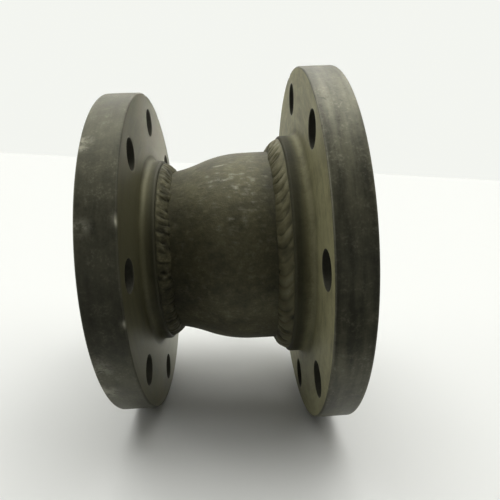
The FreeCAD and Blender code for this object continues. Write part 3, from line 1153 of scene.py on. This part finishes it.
def weld_run(name, toe_at, top_at, hidden, crown, look, material, node, seed):
    """One weld bead as a closed ring.

    Toe_at and top_at give the (x, radius) of the bead's two edges when they wander by some distance, and
    hidden lists the (x, radius) points of its buried back, from the top edge round to the toe.
    """
    turns = turn_angles(WELD_STEPS)
    angles, across = np.meshgrid(turns, np.linspace(0, 1, WELD_ROWS), indexing="ij")
    toe = toe_at(bead_noise(TOE_NOISE, look, turns, seed) * look.wander)
    top = top_at(bead_noise(TOP_NOISE, look, turns, seed) * look.wander * TOP_WANDER)
    height = ripple_height(look, angles, across, seed)
    envelope = np.clip(np.sin(math.pi * across), 0, 1) ** EDGE_POWER
    rise = crown * 4 * across * (1 - across) + height * envelope
    skin = bead_skin(toe, top, hidden, across, rise)
    back = np.broadcast_to(np.array(hidden), (WELD_STEPS, len(hidden), 2))
    section = np.concatenate((skin, back), axis=1)
    piece = ring_mesh(name, section[..., 0], section[..., 1], turns)
    paint_bead(piece, look, across, height, hidden)
    piece.data.materials.append(material)
    finish_mesh(piece, WELD_SHARP)
    fit_out(piece, node)


def hub_weld(end, name, look, material, seed):
    """The outside bead between a flange's hub and the reducer."""
    cap = f"{end.name}_end_weld_cap"
    root = f"{end.name}_end_weld_root"
    toe_x = ends_of(cap, end.inward)[1]
    root_toe_x = ends_of(root, end.inward)[1]
    top_radius = radii_at(cap, end.hub_end)[1]
    sunk_x = end.hub_end - end.inward * WELD_SUNK

    def toe_at(wander):
        x = toe_x + end.inward * wander
        return np.column_stack((x, pipe_outside(x) - WELD_SUNK))

    def top_at(wander):
        return np.column_stack((np.full(len(wander), sunk_x), top_radius + wander))

    hidden = [
        (sunk_x, radii_at(root, end.hub_end)[1]),
        (root_toe_x, float(pipe_outside(root_toe_x)) - WELD_SUNK),
    ]
    weld_run(name, toe_at, top_at, hidden, HUB_WELD_CROWN, look, material, cap, seed)
    for material_slot in frame["nodes"][root].material_slots:
        material_slot.material = material


def bore_weld(end, name, look, seed):
    """The inside bead between the reducer's end and a flange's bore."""
    node = f"{end.name}_end_bore_weld"
    front_x, back_x = ends_of(node, end.inward)
    inner_radius = radii_at(node, back_x)[0]
    sunk_x = back_x + end.inward * WELD_SUNK

    def toe_at(wander):
        radius = np.full(len(wander), end.bore_radius + WELD_SUNK)
        return np.column_stack((front_x - end.inward * np.minimum(wander, 0), radius))

    def top_at(wander):
        return np.column_stack((np.full(len(wander), sunk_x), inner_radius - wander))

    hidden = [(sunk_x, end.bore_radius + WELD_SUNK)]
    weld_run(name, toe_at, top_at, hidden, -BORE_WELD_HOLLOW, look, BORE_WELD_STEEL, node, seed)


LARGE_LOOK = WeldLook(
    ripples=54, slant=0.75, crescent=0.50, coarse=1.25 * MM, fine=0.18 * MM, lumps=0.50 * MM,
    pits=2.0 * MM, wander=0.9 * MM,
)
SMALL_LOOK = WeldLook(
    ripples=66, slant=0.30, crescent=0.30, coarse=0.75 * MM, fine=0.14 * MM, lumps=0.60 * MM,
    pits=2.2 * MM, wander=1.2 * MM,
)
BORE_LOOK = WeldLook(
    ripples=70, slant=0.30, crescent=0.45, coarse=0.60 * MM, fine=0.10 * MM, lumps=0.25 * MM,
    pits=0.8 * MM, wander=0.5 * MM,
)

hub_weld(SMALL, "small_hub_weld_bead", SMALL_LOOK, SOOTY_WELD, 41)
hub_weld(LARGE, "large_hub_weld_bead", LARGE_LOOK, WELD_STEEL, 51)
bore_weld(SMALL, "small_bore_weld_bead", BORE_LOOK, 61)
bore_weld(LARGE, "large_bore_weld_bead", BORE_LOOK, 71)

# ----- camera, floor and light

CAMERA_PLACE = Vector((0.0822, -0.3206, 0.0455))
CAMERA_YAW = 2.12 * DEGREE
CAMERA_PITCH = -8.72 * DEGREE
CAMERA_ROLL = -2.64 * DEGREE
CAMERA_LENS = 29.85
CAMERA_CLIP_START = 10 * MM

FLOOR_HALF_SIZE = 30.0
FLOOR_COLOUR = (0.74, 0.755, 0.775, 1)
FLOOR_ROUGHNESS = 0.9
BACKDROP_COLOUR = (0.900, 0.915, 0.872, 1)
STUDIO_COLOUR = (0.03, 0.03, 0.025, 1)

# The dark card, measured from where the small rim meets the floor.
CARD_NEAR = 0.168
CARD_FAR = 2.0
CARD_HALF_WIDTH = 0.34
CARD_SHIFT = 0.7 * SMALL.rim_radius
CARD_LIFT = 0.5 * MM
CARD_COLOUR = (0.06, 0.06, 0.05, 1)
CARD_ROUGHNESS = 1.0

# Plain soft lights: (name, degrees round from the front towards the right, degrees up, degrees across the
# light, strength, colour).
KEY_COLOUR = (1.0, 1.0, 0.94)
FILL_COLOUR = (1.0, 0.98, 0.90)
SOFT_LIGHTS = (
    ("key", 180, 83, 66, 1.95, KEY_COLOUR),
    ("left_fill", 274, 15, 50, 0.74, FILL_COLOUR),
    ("upper_left_fill", 270, 45, 60, 0.42, FILL_COLOUR),
    ("upper_right_fill", 91, 45, 60, 1.15, FILL_COLOUR),
    ("back_fill", 180, 25, 60, 0.90, FILL_COLOUR),
    ("upper_back_fill", 180, 60, 60, 0.62, FILL_COLOUR),
)


def add_camera():
    """Close in and slightly above the axis, looking along +Y."""
    camera = add_object("camera", bpy.data.cameras.new("camera"))
    camera.data.lens = CAMERA_LENS
    camera.data.clip_start = CAMERA_CLIP_START
    camera.location = CAMERA_PLACE
    turn = Matrix.Rotation(-CAMERA_YAW, 4, "Z") @ Matrix.Rotation(math.pi / 2 + CAMERA_PITCH, 4, "X")
    camera.rotation_euler = (turn @ Matrix.Rotation(CAMERA_ROLL, 4, "Z")).to_euler()
    bpy.context.scene.camera = camera


def floor_sheet(name, start, half_width, near, far, colour, roughness):
    """A flat matt sheet on the floor. Near and far are how far its edges lie forward of a start."""
    mesh = bpy.data.meshes.new(name)
    sides = (-half_width, near), (half_width, near), (half_width, far), (-half_width, far)
    corners = [start + FLOOR_ALONG * along + FLOOR_FORWARD * forward for along, forward in sides]
    mesh.from_pydata([tuple(corner) for corner in corners], [], [(0, 1, 2, 3)])
    shader = Shader(name)
    shader.finish("Base Color", colour)
    shader.finish("Roughness", roughness)
    shader.finish("Specular IOR Level", 0.0)
    mesh.materials.append(shader.material)
    return add_object(name, mesh)


def add_floor():
    """A plain pale floor that touches both rims."""
    size = FLOOR_HALF_SIZE
    floor = floor_sheet("floor", FLOOR_POINT, size, -size, size, FLOOR_COLOUR, FLOOR_ROUGHNESS)


def add_dark_card():
    """A dark card in front, unseen by the camera, which keeps the floor's light off the near side."""
    start = FLOOR_POINT + FLOOR_ALONG * CARD_SHIFT + FLOOR_UP * CARD_LIFT
    card = floor_sheet(
        "dark_card", start, CARD_HALF_WIDTH, CARD_NEAR, CARD_FAR, CARD_COLOUR, CARD_ROUGHNESS,
    )
    card.visible_camera = False
    card.visible_shadow = False


def add_lights():
    """Wide soft lights from above, behind and both sides, so that the shadow falls forwards."""
    for name, around, up, angle, strength, colour in SOFT_LIGHTS:
        light = add_object(name, bpy.data.lights.new(name, "SUN"))
        light.data.energy = strength
        light.data.color = colour
        light.data.angle = angle * DEGREE
        light.data.cycles.use_multiple_importance_sampling = False
        level = math.cos(up * DEGREE)
        direction = Vector((
            math.sin(around * DEGREE) * level,
            -math.cos(around * DEGREE) * level,
            math.sin(up * DEGREE),
        ))
        light.rotation_euler = direction.to_track_quat("Z", "Y").to_euler()


def add_world():
    """A dim studio, seen by the camera as a plain pale backdrop."""
    world = bpy.data.worlds.new("studio")
    bpy.context.scene.world = world
    world.use_nodes = True
    nodes = world.node_tree.nodes
    links = world.node_tree.links
    seen = nodes.new("ShaderNodeMix")
    seen.data_type = "RGBA"
    links.new(nodes.new("ShaderNodeLightPath").outputs["Is Camera Ray"], seen.inputs["Factor"])
    seen.inputs[MIX_FIRST].default_value = STUDIO_COLOUR
    seen.inputs[MIX_SECOND].default_value = BACKDROP_COLOUR
    links.new(seen.outputs[MIX_RESULT], nodes["Background"].inputs["Color"])


add_camera()
add_floor()
add_dark_card()
add_lights()
add_world()
bpy.context.scene.view_settings.view_transform = "Standard"
